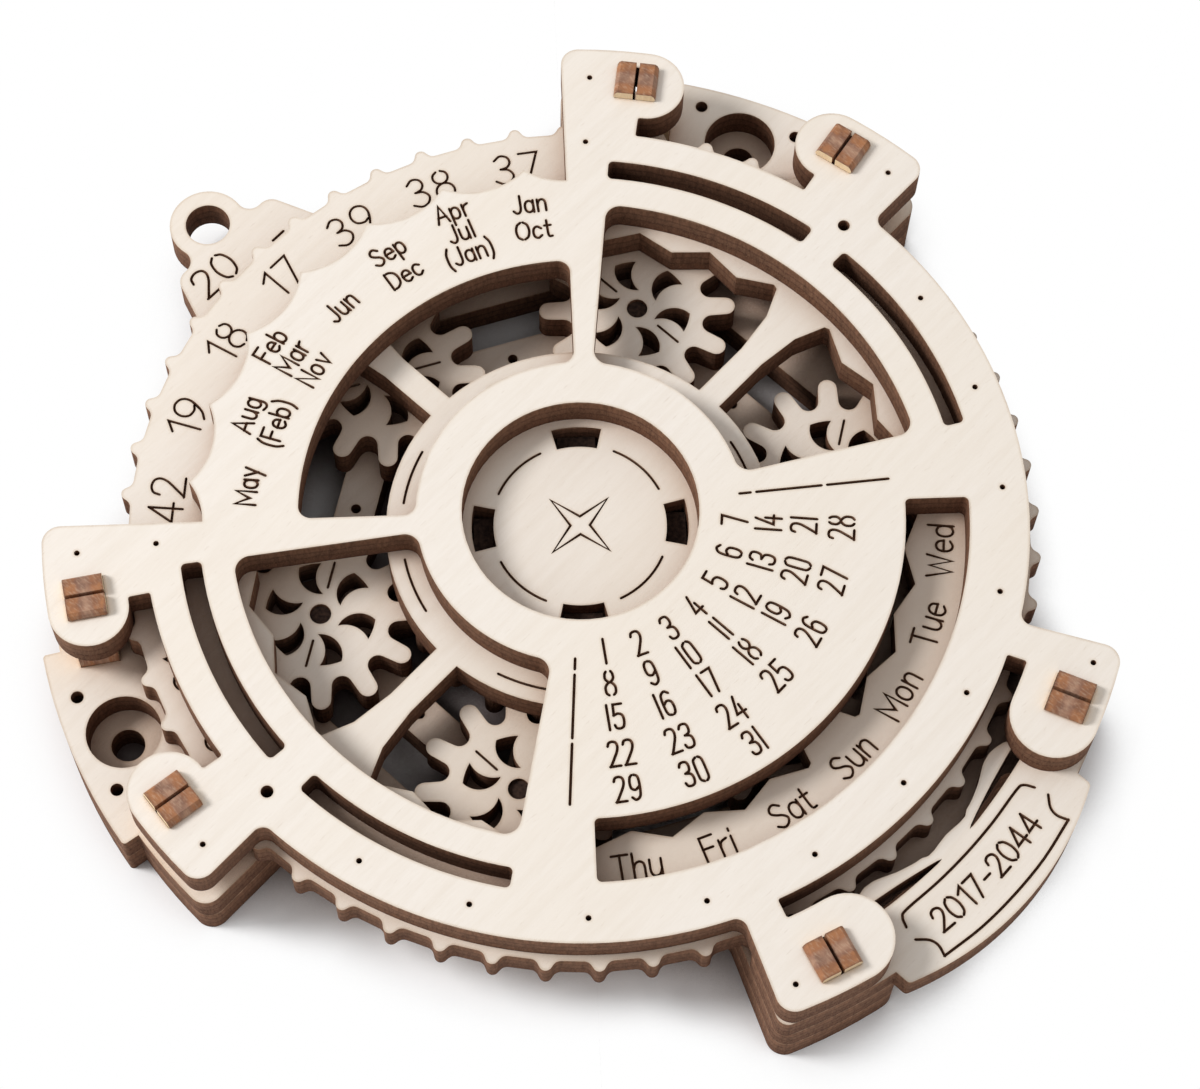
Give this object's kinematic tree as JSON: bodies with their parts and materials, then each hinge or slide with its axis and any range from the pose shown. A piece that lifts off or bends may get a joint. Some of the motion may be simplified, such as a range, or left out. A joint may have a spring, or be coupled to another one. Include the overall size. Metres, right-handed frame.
{
  "type": "perpetual desk calendar",
  "caption": "Flat layered plywood perpetual calendar: a toothed year disc turns behind a windowed month and date plate and drives small pinwheel gears.",
  "frame": {"origin": "on the main axis at the underside of the base plate", "axes": "+Z along the main axis towards the reader (the dial's face), +Y towards the hanging tab, +X to the reader's right"},
  "size_m": [0.083, 0.089, 0.0128],
  "materials": {
    "birch_plate": "bare sanded birch plywood, laser-burnt edges",
    "birch_gear": "bare sanded birch plywood, laser-burnt edges",
    "pin_wood": "plywood edge, browned by the laser, waxed",
    "burnt_wood": "charred by the laser, matt",
    "dowel_wood": "bare wood"
  },
  "bodies": {
    "frame": {"base_plate": "birch_plate", "middle_frame": "birch_plate", "hub_boss": "birch_gear", "centre_disc": "birch_plate", "plaque_plate": "birch_plate", "front_plate": "birch_plate", "hub_peg_1": "burnt_wood", "hub_peg_2": "burnt_wood", "hub_peg_3": "burnt_wood", "hub_peg_4": "burnt_wood", "spacer_pin_1": "pin_wood", "spacer_pin_2": "pin_wood", "spacer_pin_3": "pin_wood", "spacer_pin_4": "pin_wood", "lug_pin_1": "pin_wood", "lug_pin_2": "pin_wood", "gear_axle_1": "burnt_wood", "gear_axle_2": "burnt_wood", "gear_axle_3": "burnt_wood", "gear_axle_4": "burnt_wood", "gear_axle_5": "burnt_wood", "gear_axle_6": "burnt_wood"},
    "dial": {"calendar_disc": "birch_plate", "sun_gear": "birch_gear", "hub_dowel_1": "dowel_wood", "hub_dowel_2": "dowel_wood", "hub_dowel_3": "dowel_wood", "hub_dowel_4": "dowel_wood"},
    "planet_1": {"planet_gear_1": "birch_gear"},
    "planet_2": {"planet_gear_2": "birch_gear"},
    "planet_3": {"planet_gear_3": "birch_gear"},
    "planet_4": {"planet_gear_4": "birch_gear"},
    "planet_5": {"planet_gear_5": "birch_gear"},
    "planet_6": {"planet_gear_6": "birch_gear"}
  },
  "joints": [
    {"name": "dial_spin", "type": "hinge", "parent": "frame", "child": "dial", "pos_m": [0, 0, 0.0075], "axis": [0, 0, 1], "continuous": true},
    {"name": "planet_spin_1", "type": "hinge", "parent": "frame", "child": "planet_1", "pos_m": [0.01819, 0.0105, 0.0045], "axis": [0, 0, 1], "continuous": true},
    {"name": "planet_spin_2", "type": "hinge", "parent": "frame", "child": "planet_2", "pos_m": [0, 0.021, 0.0045], "axis": [0, 0, 1], "continuous": true},
    {"name": "planet_spin_3", "type": "hinge", "parent": "frame", "child": "planet_3", "pos_m": [-0.01819, 0.0105, 0.0045], "axis": [0, 0, 1], "continuous": true},
    {"name": "planet_spin_4", "type": "hinge", "parent": "frame", "child": "planet_4", "pos_m": [-0.01819, -0.0105, 0.0045], "axis": [0, 0, 1], "continuous": true},
    {"name": "planet_spin_5", "type": "hinge", "parent": "frame", "child": "planet_5", "pos_m": [0, -0.021, 0.0045], "axis": [0, 0, 1], "continuous": true},
    {"name": "planet_spin_6", "type": "hinge", "parent": "frame", "child": "planet_6", "pos_m": [0.01819, -0.0105, 0.0045], "axis": [0, 0, 1], "continuous": true}
  ],
  "couplings": [
    {"joint": "planet_spin_1", "follows": "dial_spin", "ratio": -2},
    {"joint": "planet_spin_2", "follows": "dial_spin", "ratio": -2},
    {"joint": "planet_spin_3", "follows": "dial_spin", "ratio": -2},
    {"joint": "planet_spin_4", "follows": "dial_spin", "ratio": -2},
    {"joint": "planet_spin_5", "follows": "dial_spin", "ratio": -2},
    {"joint": "planet_spin_6", "follows": "dial_spin", "ratio": -2}
  ]
}
